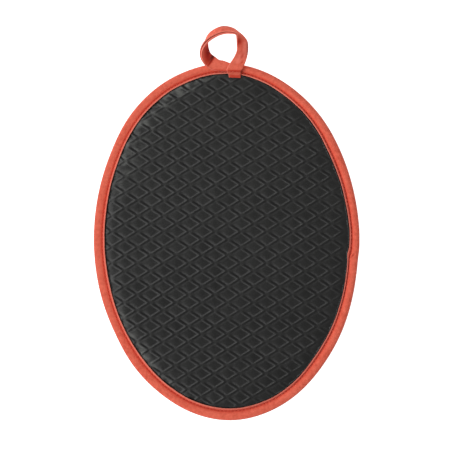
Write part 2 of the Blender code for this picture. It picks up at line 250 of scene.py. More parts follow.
# Painted highlights by the rim, where its slopes face the softbox: the turn of their middle and their width
# in degrees, and their run from the rim.
RimHighlight = namedtuple("RimHighlight", "turn wide run strong")
RIM_HIGHLIGHTS = (
    RimHighlight(112, 16, 7.0, 1.7),
    RimHighlight(138, 22, 12.0, 0.9),
    RimHighlight(222, 20, 4.6, 1.15),
)
RIM_HIGHLIGHT_SPOT_MM = 3.6
RIM_HIGHLIGHT_SPOTS = (-0.25, 0.45)  # of the unevenness, where a spot starts and where it is whole
RIM_HIGHLIGHT_MOST = 1.2
# Painted lighter tone, a little all over, towards the loop.
LIGHTER_TOWARDS_LOOP = 0.055  # a little all over, towards the loop
LIGHTER_TOWARDS_LOOP_FROM = (-0.6, 0.7)  # of the half length
LIP_SHADE_MM = (0.0, 0.5)  # from the rim: the shade in the gap beside the lip
LIP_SHADE = 0.45

# --- Sizes of the hanging loop ---------------------------------------------------------------------------

# As its tape runs from the tail of the right leg, round, to the end of the left leg.
LoopRow = namedtuple("LoopRow", "place near_x near_y near_z far_x far_y far_z thick")
LOOP = [
    LoopRow("tail end", 5.0, 124.1, 4.65, 13.8, 123.5, 4.65, 1.0),
    LoopRow("over the lip", 4.7, 126.3, 5.90, 14.0, 125.6, 5.90, 1.0),
    LoopRow("seam", 3.7, 128.5, 7.95, 14.6, 127.9, 7.95, 1.0),
    LoopRow("on the roll", 3.5, 130.2, 8.30, 15.4, 129.9, 8.30, 1.0),
    LoopRow("leaves the edge", 5.9, 134.2, 8.90, 17.5, 134.2, 8.90, 1.1),
    LoopRow("right leg, low", 9.3, 139.2, 9.20, 19.2, 139.0, 8.50, 1.3),
    LoopRow("right leg", 11.4, 143.9, 9.10, 20.1, 144.3, 7.40, 1.5),
    LoopRow("right leg, high", 11.6, 149.5, 9.30, 19.8, 150.4, 6.30, 1.6),
    LoopRow("turning", 11.7, 153.7, 9.70, 17.3, 154.3, 3.60, 1.6),
    LoopRow("corner", 11.3, 156.4, 10.00, 13.6, 157.4, 1.90, 1.9),
    LoopRow("top right", 7.2, 157.5, 10.00, 8.4, 160.9, 2.10, 2.6),
    LoopRow("top", 1.3, 157.4, 9.80, 0.7, 162.1, 2.40, 3.0),
    LoopRow("top left", -5.2, 155.1, 9.90, -7.6, 158.1, 2.20, 3.1),
    LoopRow("upper left", -11.0, 151.4, 10.10, -11.0, 152.2, 1.90, 3.2),
    LoopRow("left, high", -14.6, 146.8, 10.20, -10.6, 147.2, 2.40, 3.0),
    LoopRow("left", -16.0, 141.9, 9.90, -8.8, 142.9, 3.70, 2.5),
    LoopRow("left, low", -15.2, 137.5, 9.40, -7.0, 141.2, 4.60, 2.0),
    LoopRow("bend", -12.5, 133.2, 8.00, -4.9, 139.7, 6.00, 1.4),
    LoopRow("left leg, start", -7.9, 130.0, 6.80, -2.2, 137.4, 7.70, 1.0),
    LoopRow("left leg", -2.0, 128.7, 6.70, 1.5, 136.5, 7.70, 1.0),
    LoopRow("under right leg", 4.0, 128.4, 6.60, 6.8, 134.5, 7.70, 1.0),
    LoopRow("left leg end", 9.8, 128.1, 6.60, 11.9, 133.9, 7.70, 1.0),
]
LOOP_STEPS = 12  # sections for each row
LOOP_HALF_WIDE_MM = 4.5  # about, for the weave

# One layer of the folded tape's section, outside from its open edge to its fold, and inside back again:
# shares of half its width, from 1 at the open edge to -1 at the fold, and of the whole tape's thickness.
FOLD_OUTSIDE = [
    (0.96, 0.10), (0.995, 0.17), (1.0, 0.33), (0.985, 0.43), (0.95, 0.49), (0.88, 0.5), (0.80, 0.46),
    (0.70, 0.49), (0.45, 0.5), (0.15, 0.5), (-0.2, 0.5), (-0.55, 0.5), (-0.80, 0.48), (-0.90, 0.42),
    (-0.965, 0.28), (-0.995, 0.12),
]
FOLD_INSIDE = [(-0.86, 0.04), (-0.5, 0.05), (0.2, 0.05), (0.7, 0.05), (0.90, 0.06)]
SLIT = 0.10  # of the thickness: how high the slit between the layers lies over the middle

# How its painted highlight and painted shade lie on the section, and how strong they are.
OPEN_EDGE_FROM = 0.93
FOLD_FROM = -0.9
SLIT_REACH = 0.12
# Painted highlight on the open edges.
OPEN_EDGE_HIGHLIGHT = 0.6
SLIT_SHADE = 0.6
REDDENED_FOR_SHADE = 1.5  # how strong the reddened painted shade is for how strong the painted shade is

# Places of painted shade and painted light: soft ovals seen from above, on the tape between two rows.
Shade = namedtuple("Shade", "place first last x y half_long half_wide turn_deg strong")
LOOP_CREASE_SHADE = [  # painted shade in creases and hollows, and under folds
    Shade("hollow of the bend", "upper left", "bend", -10.3, 142.5, 9.0, 2.6, 86, 1.0),
    Shade("crease", "left, low", "left leg, start", -8.4, 136.0, 4.6, 0.8, 54, 1.0),
    Shade("top of the right leg", "right leg", "corner", 13.2, 150.6, 2.6, 2.2, 90, 0.8),
    Shade("fold down the right leg", "leaves the edge", "right leg, high", 15.2, 138.0, 7.0, 0.6, 86, 0.6),
    Shade("seam over the right leg", "over the lip", "on the roll", 9.1, 128.4, 8.0, 0.8, -2, 0.8),
    Shade("tail", "tail end", "over the lip", 9.3, 124.2, 9.0, 2.4, -3, 0.45),
    Shade("sewn edge of the left leg", "left leg, start", "left leg end", -3.5, 128.9, 9.0, 0.9, -4, 0.8),
]
LOOP_DARK = [  # in deep shade
    Shade("pocket", "left", "left leg, start", -7.1, 139.6, 3.6, 1.5, 58, 1.0),
    Shade("deepest of the hollow", "upper left", "left, low", -9.6, 144.3, 4.5, 1.2, 80, 0.45),
    Shade("right end of the seam", "over the lip", "on the roll", 14.6, 127.7, 1.4, 0.9, 90, 0.7),
    Shade("outer edge of the right leg", "right leg, low", "corner", 20.4, 146.5, 9.0, 0.7, 87, 0.45),
]
LOOP_PAINTED_LIGHT = [  # painted light: lit streaks on the right leg
    Shade("streak on the right leg", "leaves the edge", "right leg, high", 17.5, 145.0, 8.5, 1.1, 86, 0.55),
    Shade("front of the right leg", "leaves the edge", "right leg, high", 12.6, 137.0, 5.0, 2.0, 70, 0.45),
]
LOOP_GREY_SHADE = [  # greyed painted shade along outer edges
    Shade("outer edge of the right leg", "right leg, low", "corner", 20.5, 146.0, 11.0, 1.3, 86, 1.0),
    Shade("outer edge of the top", "top right", "upper left", 0.5, 162.6, 9.0, 0.9, 0, 0.5),
]

# --- The studio ------------------------------------------------------------------------------------------

CEILING_LIGHT = 0.38
WALL_LIGHT = 0.50  # at the left, beside the softbox
WALL_TO_CEILING = (-1.0, 0.2)
KEY_PLACE = (-3.20, 0.0, 3.60)
KEY_SIZE = (8.8, 4.8)
KEY_POWER = 300
CAMERA_LENS_MM = 330.95
CAMERA_SENSOR_MM = 36
CAMERA_PLACE = (0.002743, 0.00862, 3.2)
CAMERA_TURN_DEG = -1.523
FLOOR_SIZE = 12
FLOOR_PLACE = (0, 0, -0.0001)


# --- Curves and noise ------------------------------------------------------------------------------------


def smooth_between(before, start, end, after, t):
    """Catmull-Rom curve through rows of numbers, t from 0 at start to 1 at end."""
    a, b, c, d = (np.asarray(row, float) for row in (before, start, end, after))
    square = 2 * a - 5 * b + 4 * c - d
    cube = 3 * b - a - 3 * c + d
    return 0.5 * (2 * b + (c - a) * t + square * t * t + cube * t ** 3)


def smooth_ring(rows, steps):
    """A closed Catmull-Rom curve through rows of numbers."""
    count = len(rows)
    made = []
    for k in range(count):
        near = [rows[(k + move) % count] for move in (-1, 0, 1, 2)]
        made += [smooth_between(*near, step / steps) for step in range(steps)]
    return np.array(made)


def smooth_step(low, high, value):
    """From 0 at low to 1 at high."""
    t = np.clip((value - low) / (high - low), 0.0, 1.0)
    return t * t * (3 - 2 * t)


def bell(value):
    """1 at 0, falling off to both sides."""
    return np.exp(-(value ** 2))


def evened_out(ring, reach):
    """Each row of a closed ring, averaged with its neighbours up to reach rows away."""
    moves = range(-reach, reach + 1)
    shares = [bell(2 * move / reach) for move in moves]
    return sum(share * np.roll(ring, move, axis=0) for share, move in zip(shares, moves)) / sum(shares)


def turned(x, y, turn_deg):
    """The same place on axes that are turned by an angle."""
    turn = math.radians(turn_deg)
    return x * math.cos(turn) + y * math.sin(turn), y * math.cos(turn) - x * math.sin(turn)


def soft_oval(oval, x, y):
    """1 in the middle of an oval, falling off to all sides, for places in metres."""
    ahead, aside = turned(x / MM - oval.x, y / MM - oval.y, oval.turn_deg)
    return bell(ahead / oval.half_long) * bell(aside / oval.half_wide)


def uneven(places, scale_mm, seed):
    """Smooth noise from -1 to 1 at each place, with features of about scale_mm."""
    move = Vector((17.3 * seed, -9.1 * seed, 5.7 * seed))
    return np.array([noise.noise(Vector(place) / (scale_mm * MM) + move) for place in places])


def on_the_flat(x, y):
    """Places at no height."""
    return np.column_stack([x, y, np.zeros(len(x))])


# --- Meshes ----------------------------------------------------------------------------------------------


def add_piece(name, points, faces, look, uv=None, marks=None):
    """A smooth-shaded mesh object. uv: a pair for each corner. marks: named numbers for each point."""
    mesh = bpy.data.meshes.new(name)
    mesh.from_pydata(np.asarray(points).tolist(), [], faces)
    if uv is not None:
        layer = mesh.uv_layers.new(name="tape")
        layer.uv.foreach_set("vector", np.asarray(uv, np.float32).ravel())
    for mark, values in (marks or {}).items():
        attribute = mesh.attributes.new(mark, "FLOAT", "POINT")
        attribute.data.foreach_set("value", np.asarray(values, np.float32).ravel())
    mesh.update()
    mesh.shade_smooth()
    mesh.materials.append(look)
    piece = bpy.data.objects.new(name, mesh)
    bpy.context.scene.collection.objects.link(piece)
    return piece


def swept_faces(sections, around, closed):
    """Faces between sections of points, and each corner's section and place in it, counted on at the end."""
    faces, corners = [], []
    for i in range(sections if closed else sections - 1):
        for j in range(around):
            square = [(i, j), (i + 1, j), (i + 1, j + 1), (i, j + 1)]
            faces.append([(a % sections) * around + b % around for a, b in square])
            corners += square
    return faces, np.array(corners)


# --- The sewn edge ---------------------------------------------------------------------------------------

box_low, box_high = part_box("binding")
HALF_WIDTH = (box_high.x - box_low.x) / 2
HALF_LENGTH = (box_high.y - box_low.y) / 2


def turn_of(x, y):
    """How far round the oval a place lies, in radians from +X, with the oval drawn together to a circle."""
    return np.arctan2(y / HALF_LENGTH, x / HALF_WIDTH)


def level_of(x, y):
    """0 in the middle of the oval, 1 at its outermost edge."""
    return np.hypot(x / HALF_WIDTH, y / HALF_LENGTH)


def facing(turn, low, high, middle=0.0):
    """1 where the oval's edge faces the middle turn, 0 on the far side.

    low and high: cosines of the turn from there, between which it falls off.
    """
    return smooth_step(low, high, np.cos(turn - middle))


def ring_of(node, height_mm):
    """A node's own points at one height, in order round the oval."""
    places = {
        (round(v.co.x, 6), round(v.co.y, 6))
        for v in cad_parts[node].data.vertices
        if abs(v.co.z - height_mm * MM) < RING_SLACK_MM * MM
    }
    return sorted(places, key=lambda p: (turn_of(*p) - RING_START) % (2 * math.pi))


def evened_at_joint(across):
    """The way across the binding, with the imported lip's step at the joint evened out."""
    from_joint = np.hypot(outermost[:, 0] - HALF_WIDTH, outermost[:, 1] - JOINT_MIDDLE_MM * MM)
    by_joint = bell(from_joint / (JOINT_EVENED_MM * MM))[:, None]
    return across + by_joint * (evened_out(across, LIP_EVENED_POINTS) - across)


outermost = smooth_ring(ring_of("binding", OUTERMOST_RING_MM), FINE_STEPS)
inwards = evened_at_joint(smooth_ring(ring_of("binding", LIP_FOOT_RING_MM), FINE_STEPS) - outermost)
width = np.linalg.norm(inwards, axis=1)
unit_inwards = inwards / width[:, None]
section_turn = turn_of(*outermost.T)
step_lengths = np.linalg.norm(np.roll(outermost, -1, axis=0) - outermost, axis=1)
along_edge = np.concatenate([[0.0], np.cumsum(step_lengths)])
EDGE_LENGTH = along_edge[-1]
STITCH_COUNT = round(EDGE_LENGTH / (STITCH_PITCH_MM * MM))


def edge_ring(share):
    """The ring round the oval that lies at a share of the binding's width."""
    return outermost + inwards * share


# --- Materials -------------------------------------------------------------------------------------------


class Look:
    """A material and short ways to add nodes to it."""

    def __init__(self, name, **settings):
        self.material = bpy.data.materials.new(name)
        self.material.use_nodes = True
        self.tree = self.material.node_tree
        self.shader = self.tree.nodes["Principled BSDF"]
        for socket, value in settings.items():
            self.shader.inputs[socket.replace("_", " ")].default_value = value

    def add(self, kind, inputs=None, **settings):
        node = self.tree.nodes.new("ShaderNode" + kind)
        for name, value in settings.items():
            setattr(node, name, value)
        for key, value in (inputs or {}).items():
            self.put(node.inputs[key], value)
        return node

    def put(self, socket, value):
        if isinstance(value, bpy.types.NodeSocket):
            self.tree.links.new(value, socket)
        else:
            socket.default_value = value

    def set(self, **inputs):
        for socket, value in inputs.items():
            self.put(self.shader.inputs[socket.replace("_", " ")], value)

    def math(self, operation, *values):
        return self.add("Math", dict(enumerate(values)), operation=operation).outputs[0]

    def mix(self, share, first, second):
        node = self.add("Mix", data_type="RGBA")
        for key, kind, value in (("Factor", "VALUE", share), ("A", "RGBA", first), ("B", "RGBA", second)):
            self.put(next(s for s in node.inputs if s.name == key and s.type == kind), value)
        return next(s for s in node.outputs if s.type == "RGBA")

    def marked(self, base, marks):
        """A colour with others over it, each where its mark is and as strong as its share."""
        for name, share, tint in marks:
            base = self.mix(self.math("MULTIPLY", self.mark(name), share), base, tint)
        return base

    def ramp(self, value, low, high, to_low=0.0, to_high=1.0):
        inputs = {"Value": value, "From Min": low, "From Max": high, "To Min": to_low, "To Max": to_high}
        return self.add("MapRange", inputs).outputs["Result"]

    def spots(self, scale_mm, detail=2.0, roughness=0.5):
        place = self.add("TexCoord").outputs["Object"]
        inputs = {"Vector": place, "Scale": 1 / (scale_mm * MM), "Detail": detail, "Roughness": roughness}
        return self.add("TexNoise", inputs).outputs["Fac"]

    def mark(self, name):
        return self.add("Attribute", attribute_name=name).outputs["Fac"]

    def bump(self, height, depth_mm, strength=1.0, normal=None):
        node = self.add("Bump", {"Height": height, "Distance": depth_mm * MM, "Strength": strength})
        if normal is not None:
            self.put(node.inputs["Normal"], normal)
        return node.outputs["Normal"]


def color(red, green, blue):
    return (red, green, blue, 1.0)


# A material's marks: name, how much of the colour shows at most, and the colour. The later ones lie over
# the earlier ones.
RUBBER = color(0.0030, 0.0031, 0.0028), color(0.0060, 0.0060, 0.0055)
RUBBER_MARKS = (
    ("band", 0.5, color(0.0108, 0.0108, 0.0102)),
    # painted highlight: the softbox's reflection on the rim's slopes, and a lighter tone towards the loop
    ("painted_highlight", 0.8, color(0.095, 0.098, 0.090)),
    # painted shade in the grooves and in the gap beside the lip
    ("painted_shade", 1.0, color(0.0025, 0.0025, 0.0024)),
)
TAPE = color(0.60, 0.088, 0.050), color(0.82, 0.155, 0.096)
TAPE_FADED = color(0.80, 0.175, 0.112)
TAPE_BETWEEN_THREADS = color(0.40, 0.035, 0.018)
TAPE_MARKS = (
    # reddened painted shade beside the seam and in the loop's creases
    ("reddened_shade", 1.0, color(0.70, 0.062, 0.030)),
    # painted shade in creases, hollows, the slit and the seam's valley
    ("deep", 1.0, color(0.34, 0.016, 0.008)),
    # the lip's own wear with a painted highlight, and painted highlights on the loop
    ("wear_and_highlight", 0.75, color(0.90, 0.30, 0.23)),
    # greyed painted shade on the lip at the right and along outer edges
    ("grey_shade", 1.0, color(0.40, 0.112, 0.086)),
    # dark painted shade in the loop's pocket and hollow, and in the binding's crease
    ("dark", 1.0, color(0.07, 0.004, 0.003)),
)
TAPE_SHEEN = color(1.0, 0.55, 0.45)
THREAD = color(0.50, 0.055, 0.03), color(0.72, 0.12, 0.075)
FLOOR = color(0.50, 0.50, 0.50), color(0.55, 0.55, 0.55)
WHITE = color(1, 1, 1)
WEAVE_MM = 0.42


def pad_look():
    look = Look("pressed black rubber", Specular_IOR_Level=0.40)
    blotches = look.spots(14, 3)
    base = look.mix(look.ramp(blotches, 0.35, 0.65), *RUBBER)
    grain = look.spots(0.55, 3, 0.6)
    shine = look.ramp(blotches, 0.3, 0.7, 0.33, 0.39)
    shine = look.math("ADD", shine, look.ramp(grain, 0.3, 0.7, -0.04, 0.04))
    normal = look.bump(grain, 0.035)
    normal = look.bump(look.spots(3.5, 2), 0.12, normal=normal)
    look.set(Base_Color=look.marked(base, RUBBER_MARKS), Roughness=shine, Normal=normal)
    return look.material


def plain_weave(look):
    """The height of a plain weave from 0 to 1. Its uv are metres along and across the tape."""
    uv = look.add("UVMap", uv_map="tape").outputs["UV"]
    parts = look.add("SeparateXYZ", {"Vector": uv}).outputs
    waves = []
    for part in (parts["X"], parts["Y"]):
        turns = look.math("MULTIPLY", part, math.pi / (WEAVE_MM * MM))
        waves.append(look.math("SINE", turns))
    over = look.math("GREATER_THAN", look.math("MULTIPLY", *waves), 0.0)
    squares = [look.math("MULTIPLY", wave, wave) for wave in waves]
    warp = look.math("MULTIPLY", over, squares[0])
    weft = look.math("MULTIPLY", look.math("SUBTRACT", 1.0, over), squares[1])
    return look.math("ADD", warp, weft)


def tape_look():
    look = Look("coral cotton tape", Roughness=0.9, Specular_IOR_Level=0.18, Sheen_Weight=0.05,
                Sheen_Roughness=0.45, Sheen_Tint=TAPE_SHEEN)
    weave = plain_weave(look)
    fibres = look.spots(0.45, 4, 0.65)
    mottle = look.spots(2.6, 3, 0.6)
    faded = look.spots(22, 2, 0.5)
    base = look.mix(look.ramp(mottle, 0.3, 0.7), *TAPE)
    base = look.mix(look.ramp(faded, 0.35, 0.65, 0.0, 0.35), base, TAPE_FADED)
    base = look.mix(look.ramp(weave, 0.0, 0.5, 0.22, 0.0), base, TAPE_BETWEEN_THREADS)
    normal = look.bump(weave, 0.05, 0.8)
    normal = look.bump(fibres, 0.06, 0.6, normal)
    normal = look.bump(mottle, 0.15, 0.6, normal)
    look.set(Base_Color=look.marked(base, TAPE_MARKS), Normal=normal)
    return look.material


def thread_look():
    """Coral thread. The mark says how far along its stitch a point lies, in turns of the thread's twist."""
    look = Look("coral thread", Roughness=0.6, Specular_IOR_Level=0.35, Sheen_Weight=0.15)
    twist = look.math("SINE", look.math("MULTIPLY", look.mark("twist"), 2 * math.pi))
    look.set(Base_Color=look.mix(look.ramp(twist, -1.0, 1.0), *THREAD), Normal=look.bump(twist, 0.05))
    return look.material


def floor_look():
    look = Look("pale floor", Roughness=0.9, Specular_IOR_Level=0.1, Emission_Color=WHITE,
                Emission_Strength=1.1)
    look.set(Base_Color=look.mix(look.spots(400, 2), *FLOOR))
    return look.material


# --- The pad ---------------------------------------------------------------------------------------------


def lattice_axis():
    """Counts along one family of lines, close together beside each line."""
    offsets = [step / LINE_SPACING_MM for step in GRID_STEPS_MM]
    return np.array([n + offset for n in range(-LATTICE_REACH, LATTICE_REACH) for offset in offsets])


def drawn_askew(y):
    """How far the rubber is drawn from its even lattice, to the right and up, level with y."""
    share = y / HALF_LENGTH
    towards_loop = np.maximum(share, 0.0) ** 2
    right = DRAWN_ALONG_MM * share + DRAWN_ASKEW_MM[0] * towards_loop
    return right * MM, DRAWN_ASKEW_MM[1] * towards_loop * MM


def from_lattice(first, second):
    """The place of counts along the two families of lines."""
    along = DIAMOND_LENGTH_MM * (first + second) / 2
    up = DIAMOND_HEIGHT_MM * (first - second) / 2
    x, y = turned(along, up, -LATTICE_TURN_DEG)
    x = (x + LATTICE_CROSSING_MM[0]) * MM
    y = (y + LATTICE_CROSSING_MM[1]) * MM
    drawn_y = y
    for _ in range(DRAWN_ROUNDS):
        right, ahead = drawn_askew(drawn_y)
        drawn_y = y + ahead
    return x + right, drawn_y


def to_lattice(x, y):
    """Counts along the two families of lines, for a place."""
    right, ahead = drawn_askew(y)
    x = (x - right) / MM - LATTICE_CROSSING_MM[0]
    y = (y - ahead) / MM - LATTICE_CROSSING_MM[1]
    along, up = turned(x, y, LATTICE_TURN_DEG)
    along /= DIAMOND_LENGTH_MM
    up /= DIAMOND_HEIGHT_MM
    return along + up, along - up


def soft_least(a, b, round_mm):
    """The least of two lengths, rounded where they are alike."""
    return -round_mm * np.log(np.exp(-a / round_mm) + np.exp(-b / round_mm))


def humps(value, rows):
    """The sum of the turns of a pressing's section."""
    height = np.zeros_like(value)
    for row in rows:
        wide = np.where(value < row.off, row.wide_left, row.wide_right)
        height += row.high * bell((value - row.off) / wide)
    return height


def relief(x, y):
    """Height of the pressing in millimetres, and the painted shade in its grooves, from 0 to 1.

    It has grooves, and a lip inside the right corner of each diamond.
    """
    counts = to_lattice(x, y)
    # How far inside its diamond's left and right sides a place is, and how far along them.
    left = [(count - np.floor(count)) * LINE_SPACING_MM for count in counts]
    right = [LINE_SPACING_MM - side for side in left]
    ahead = [(count - np.floor(count)) * SIDE_LENGTH_MM for count in counts[::-1]]
    height, painted_shade = np.zeros_like(x), np.zeros_like(x)
    inside = -soft_least(*right, CORNER_ROUND_MM)
    falls = smooth_step(*CORNER_TURNS, right[1] / (right[0] + right[1]))
    at_corner = 4 * falls * (1 - falls)
    for family, share in ((0, falls), (1, 1 - falls)):
        off = np.where(left[family] < right[family], left[family], -right[family])
        groove = smooth_step(*GROOVE_STARTS_MM[family], ahead[family])
        groove = groove * smooth_step(*GROOVE_ENDS_MM[family], SIDE_LENGTH_MM - ahead[family])
        height = height + humps(off, PRESS_GROOVE[family]) * groove
        # Painted shade, darkest at the bottom of the groove.
        painted_shade = np.maximum(painted_shade, bell(off / GROOVE_SHADE_WIDE_MM) * groove * GROOVE_SHADE[family])
        lip = humps(inside, PRESS_LIP[family]) * (1 - CORNER_LOW * at_corner)
        height = height + share * lip * smooth_step(*LIP_STARTS_MM[family], ahead[family])
    return height, painted_shade


def beside_lines(x, y):
    """1 on the band round the diamonds, 0 in their middles."""
    near = [abs(count - np.round(count)) * LINE_SPACING_MM for count in to_lattice(x, y)]
    return 1 - smooth_step(*DIAMOND_BAND_MM, np.minimum(*near))


rim_ring = edge_ring(PAD_RIM_SHARE)


def from_rim(x, y):
    """How far a place lies inside the rim of the pad's face."""
    turns = turn_of(*rim_ring.T)
    order = np.argsort(turns)
    rim_level = np.interp(turn_of(x, y), turns[order], level_of(*rim_ring.T)[order], period=2 * math.pi)
    level = np.maximum(level_of(x, y), 1e-6)
    slope = np.hypot(x / HALF_WIDTH ** 2, y / HALF_LENGTH ** 2) / level
    return (rim_level - level) / slope


def painted_rim_highlights(x, y):
    """Painted highlight beside the seam, where the rim's slopes face the softbox, and a painted lighter tone
    towards the loop.
    """
    inside = np.maximum(from_rim(x, y), 0.0) / MM
    turn = np.degrees(turn_of(x, y))
    painted_highlight = np.zeros_like(x)
    for place in RIM_HIGHLIGHTS:
        away = (turn - place.turn + 180) % 360 - 180
        painted_highlight = np.maximum(painted_highlight, place.strong * bell(away / place.wide) * bell(inside / place.run))
    painted_highlight = painted_highlight * smooth_step(*RIM_HIGHLIGHT_SPOTS, uneven(on_the_flat(x, y), RIM_HIGHLIGHT_SPOT_MM, 6))
    above = LIGHTER_TOWARDS_LOOP * smooth_step(*LIGHTER_TOWARDS_LOOP_FROM, y / HALF_LENGTH)
    return np.maximum(np.minimum(painted_highlight, RIM_HIGHLIGHT_MOST), above)


def pad_height(x, y, pressing):
    """The face's height in metres: low at the rim, wavy beside it, nearly flat inside, and pressed."""
    inside = np.maximum(from_rim(x, y), 0.0) / MM
    swell, swell_run = PAD_SWELL_MM
    dome, dome_run = PAD_DOME_MM
    waves, wave_long, wave_run = PAD_WAVES_MM
    height = PAD_RIM_MM + swell * (1 - np.exp(-inside / swell_run))
    height = height + dome * (1 - np.maximum(1 - inside / dome_run, 0.0) ** 2)
    near = inside < WAVES_END * wave_run
    fading = np.exp(-inside[near] / wave_run) * smooth_step(*WAVES_START_MM, inside[near])
    height[near] += waves * fading * uneven(on_the_flat(x[near], y[near]), wave_long, 5)
    fade_start, fade_end = RIM_FADE_MM
    fade_end = fade_end + RIM_FADE_AT_RIGHT_MM * facing(turn_of(x, y), *RIM_FADE_FACING)
    pressed = smooth_step(fade_start, fade_end, inside)
    pressed *= 1 + PRESSED_UNEVEN * uneven(on_the_flat(x, y), PRESSED_UNEVEN_MM, 7)
    return (height + pressing * pressed) * MM


def pad_squares(axis):
    """The lattice's places on the face, its whole squares, and which squares of the lattice these are."""
    x, y = from_lattice(*np.meshgrid(axis, axis, indexing="ij"))
    inside = from_rim(x, y) > SQUARES_FROM_RIM_MM * MM
    whole = inside[:-1, :-1] & inside[1:, :-1] & inside[:-1, 1:] & inside[1:, 1:]
    used = np.zeros_like(inside)
    for rows in (slice(0, -1), slice(1, None)):
        for columns in (slice(0, -1), slice(1, None)):
            used[rows, columns] |= whole
    number = np.full(inside.shape, -1)
    number[used] = np.arange(used.sum())
    i, j = np.nonzero(whole)
    squares = np.stack([number[i, j], number[i, j + 1], number[i + 1, j + 1], number[i + 1, j]], axis=1)
    return np.stack([x[used], y[used]], axis=1), squares.tolist(), whole


def open_sides(faces):
    """The sides that only one face has."""
    sides = {}
    for face in faces:
        for a, b in zip(face, face[1:] + face[:1]):
            if (b, a) in sides:
                del sides[b, a]
            else:
                sides[a, b] = True
    return list(sides)


def strip_to_rim(flat, squares, whole, axis):
    """Triangles from the whole squares to the rim, whose points are numbered on from the squares' points."""
    sides = open_sides(squares)
    stepped = sorted({k for side in sides for k in side})
    place_of = {k: n for n, k in enumerate(stepped)}
    both = np.concatenate([flat, rim_ring])
    numbers = stepped + list(range(len(flat), len(both)))
    edges = [(place_of[a], place_of[b]) for a, b in sides]
    outline = list(range(len(stepped), len(numbers)))
    points = [Vector(both[k]) for k in numbers]
    inside_outline, merge_within = 1, 1e-9
    made = geometry.delaunay_2d_cdt(points, edges, [outline], inside_outline, merge_within)
    triangles, origins = made[2], made[3]
    strips = [[numbers[origins[k][0]] for k in triangle] for triangle in triangles]
    # A triangle over whole squares is left out.
    counts = to_lattice(*both[np.array(strips)].mean(axis=1).T)
    at = [np.clip(np.searchsorted(axis, count, side="right") - 1, 0, len(axis) - 2) for count in counts]
    return [strip for strip, covered in zip(strips, whole[at[0], at[1]]) if not covered]


def pad_edge_rings():
    """Rings of points round the edge inside the binding and on over the plain back."""
    rows = [(edge_ring(share), height) for share, height in PAD_EDGE_ROWS]
    back_rim = rows[-1][0] + unit_inwards * PAD_BACK_IN_MM * MM
    rows += [(back_rim * scale, PAD_BACK_MM) for scale in PAD_BACK_RINGS]
    return [np.column_stack([ring, np.full(len(ring), height * MM)]) for ring, height in rows]


def make_pad():
    axis = lattice_axis()
    flat, squares, whole = pad_squares(axis)
    faces = squares + strip_to_rim(flat, squares, whole, axis)
    x, y = np.concatenate([flat, rim_ring]).T
    pressing, painted_shade = relief(x, y)
    by_lip = 1 - smooth_step(*LIP_SHADE_MM, from_rim(x, y) / MM)
    marks = {
        "band": beside_lines(x, y),
        # painted shade in the grooves and in the gap beside the lip
        "painted_shade": np.maximum(painted_shade, LIP_SHADE * by_lip),
        # painted highlight by the rim, and a painted lighter tone towards the loop
        "painted_highlight": painted_rim_highlights(x, y),
    }
    points = np.column_stack([x, y, pad_height(x, y, pressing)])

    ring_size = len(rim_ring)
    last = len(flat)
    for ring in pad_edge_rings():
        first = len(points)
        points = np.concatenate([points, ring])
        for k in range(ring_size):
            after = (k + 1) % ring_size
            faces.append([last + k, last + after, first + after, first + k])
        last = first
    points = np.concatenate([points, [[0.0, 0.0, PAD_BACK_MM * MM]]])
    faces += [[last + k, last + (k + 1) % ring_size, len(points) - 1] for k in range(ring_size)]
    hidden = np.zeros(len(points) - len(x))
    marks = {name: np.concatenate([mark, hidden]) for name, mark in marks.items()}
    return add_piece("pad", points, faces, pad_look(), marks=marks)


# --- The binding -----------------------------------------------------------------------------------------


def stepped_in(start, end, step):
    """By how many millimetres the joint moves the tape's inner part inwards, for each section."""
    below = start - outermost[:, 1] / MM
    stepped = step * smooth_step(0.0, start - end, below) * np.exp(-np.maximum(below, 0.0) / JOINT_RUN_MM)
    return np.where(outermost[:, 0] > 0, stepped, 0.0)


def binding_points(section):
    """The binding's points, by the sections round the oval and the rows round a section."""
    share, height, pucker, wander = section.T
    pulled = 0.5 + 0.5 * np.cos(along_edge[:-1] / EDGE_LENGTH * STITCH_COUNT * 2 * math.pi)
    edge = on_the_flat(*outermost.T)
    to_and_fro = uneven(edge, WANDER_LONG_MM, 1) + WANDER_SHORT_SHARE * uneven(edge, WANDER_SHORT_MM, 2)
    wander_mm = WANDER_MM * to_and_fro - PULLED_IN_MM * pulled
    seam_stepped = stepped_in(*JOINT_SEAM_MM)
    lip_stepped = stepped_in(*JOINT_LIP_MM)
    narrower = NARROWER_AT_RIGHT_MM * bell(np.degrees(section_turn) / NARROWER_WITHIN_DEG)
    flatter = FLATTER_AT_LEFT * facing(section_turn, *FLATTER_FACING, math.pi)

    points = np.zeros((len(outermost), len(section), 3))
    for k in range(len(section)):
        on_lip = smooth_step(*LIP_SHARES, share[k])
        stepped = seam_stepped * (1 - on_lip) + lip_stepped * on_lip - narrower
        inset_mm = wander[k] * wander_mm + stepped * smooth_step(*JOINT_SHARES, share[k])
        points[:, k, :2] = outermost + unit_inwards * (share[k] * width + inset_mm * MM)[:, None]
        over_foot = max(height[k] - ROLL_FOOT_MM, 0.0) * (share[k] < SEAM_SHARE)
        points[:, k, 2] = (height[k] - over_foot * flatter - pucker[k] * PUCKER_MM * pulled) * MM
    add_wrinkles(points, share, height)
    return points


